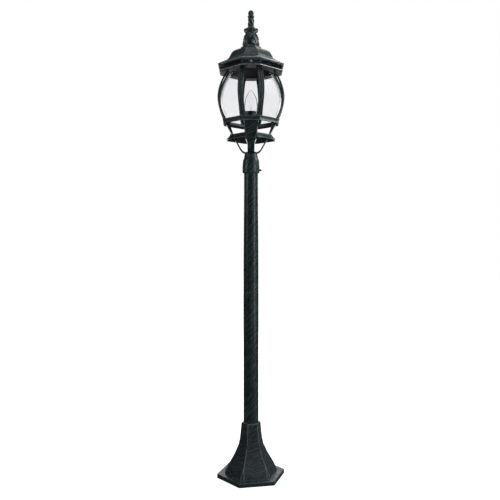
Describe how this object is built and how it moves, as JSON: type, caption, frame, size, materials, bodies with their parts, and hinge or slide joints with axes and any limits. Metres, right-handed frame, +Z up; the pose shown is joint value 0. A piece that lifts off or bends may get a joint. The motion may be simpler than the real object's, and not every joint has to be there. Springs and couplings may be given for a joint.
{
  "type": "garden post lamp",
  "caption": "Tall free-standing post lamp: flared hexagonal base, round pole, four curved straps and an eight-sided glazed lantern with lift-off domed roof and finial.",
  "frame": {"origin": "centre of the base's underside, on the pole's axis, on the ground", "axes": "+Z up along the pole; +X is the side of the collar with the clamp screw; the lantern's narrow faces look along +X, +Y, -X and -Y"},
  "size_m": [0.1732, 0.1712, 1.2],
  "materials": {
    "painted_castings": "near-black green paint with dry-brushed grey-green strokes, satin",
    "painted_tube": "near-black green paint with dry-brushed grey-green strokes, satin",
    "zinc_steel": "zinc plated",
    "brass": "plain turned",
    "black_plastic": "moulded, slightly glossy",
    "white_plastic": "moulded, matt",
    "cable_sheath": "matt sheath",
    "bulb_metal": "nickel plated",
    "pane_glass": "clear, very slightly grey",
    "bulb_glass": "clear"
  },
  "bodies": {
    "post": {"base_casting": "painted_castings", "lower_tube": "painted_tube", "upper_tube": "painted_tube", "tube_coupling": "zinc_steel", "pole_lock_ring": "zinc_steel", "terminal_block": "white_plastic", "lamp_lead": "cable_sheath"},
    "head": {"post_cap": "painted_castings", "stem_nipple": "brass", "cap_nut": "zinc_steel", "strap_washer": "zinc_steel", "strap_nut": "zinc_steel", "tray_nut": "zinc_steel", "strap_right": "painted_tube", "strap_back": "painted_tube", "strap_left": "painted_tube", "strap_front": "painted_tube", "lamp_tray": "painted_castings", "lower_ring": "painted_castings", "rib_right_a": "painted_castings", "rib_right_b": "painted_castings", "rib_back_a": "painted_castings", "rib_back_b": "painted_castings", "rib_left_a": "painted_castings", "rib_left_b": "painted_castings", "rib_front_a": "painted_castings", "rib_front_b": "painted_castings", "pane_right": "pane_glass", "pane_back": "pane_glass", "pane_left": "pane_glass", "pane_front": "pane_glass", "pane_back_right": "pane_glass", "pane_back_left": "pane_glass", "pane_front_left": "pane_glass", "pane_front_right": "pane_glass", "gallery_frame": "painted_castings", "roof_screw_right": "zinc_steel", "roof_screw_back": "zinc_steel", "roof_screw_left": "zinc_steel", "roof_screw_front": "zinc_steel", "lampholder": "black_plastic", "holder_sleeve": "brass", "holder_contact": "brass"},
    "roof": {"roof": "painted_castings", "crown_plate": "painted_castings", "finial_urn": "painted_castings", "finial_crown": "painted_castings", "finial_spire": "painted_castings", "finial_stud": "zinc_steel", "finial_nut": "zinc_steel"},
    "bulb_lift": {"bulb_contact": "bulb_metal"},
    "bulb": {"bulb_cap": "bulb_metal", "bulb_glass": "bulb_glass", "filament_stem": "bulb_glass"},
    "clamp_pad": {"clamp_pad": "brass"},
    "clamp_screw": {"clamp_screw": "black_plastic"}
  },
  "joints": [
    {"name": "head_turn", "type": "hinge", "parent": "post", "child": "head", "pos_m": [0, 0, 0.79], "axis": [0, 0, 1], "range_deg": [-180, 180]},
    {"name": "roof_lift", "type": "slide", "parent": "head", "child": "roof", "axis": [0, 0, 1], "range_m": [0, 0.08]},
    {"name": "bulb_rise", "type": "slide", "parent": "head", "child": "bulb_lift", "axis": [0, 0, 1], "range_m": [0, 0.022]},
    {"name": "bulb_turn", "type": "hinge", "parent": "bulb_lift", "child": "bulb", "pos_m": [0, 0, 0.91], "axis": [0, 0, 1], "range_deg": [0, 2160]},
    {"name": "clamp_pad_slide", "type": "slide", "parent": "head", "child": "clamp_pad", "axis": [1, 0, 0], "range_m": [0, 0.0025]},
    {"name": "clamp_screw_turn", "type": "hinge", "parent": "clamp_pad", "child": "clamp_screw", "pos_m": [0.022, 0, 0.788], "axis": [1, 0, 0], "range_deg": [0, 1125]}
  ],
  "couplings": [
    {"joint": "bulb_rise", "follows": "bulb_turn", "m_per_rad": 0.000576},
    {"joint": "clamp_screw_turn", "follows": "clamp_pad_slide", "rad_per_m": 7854}
  ]
}
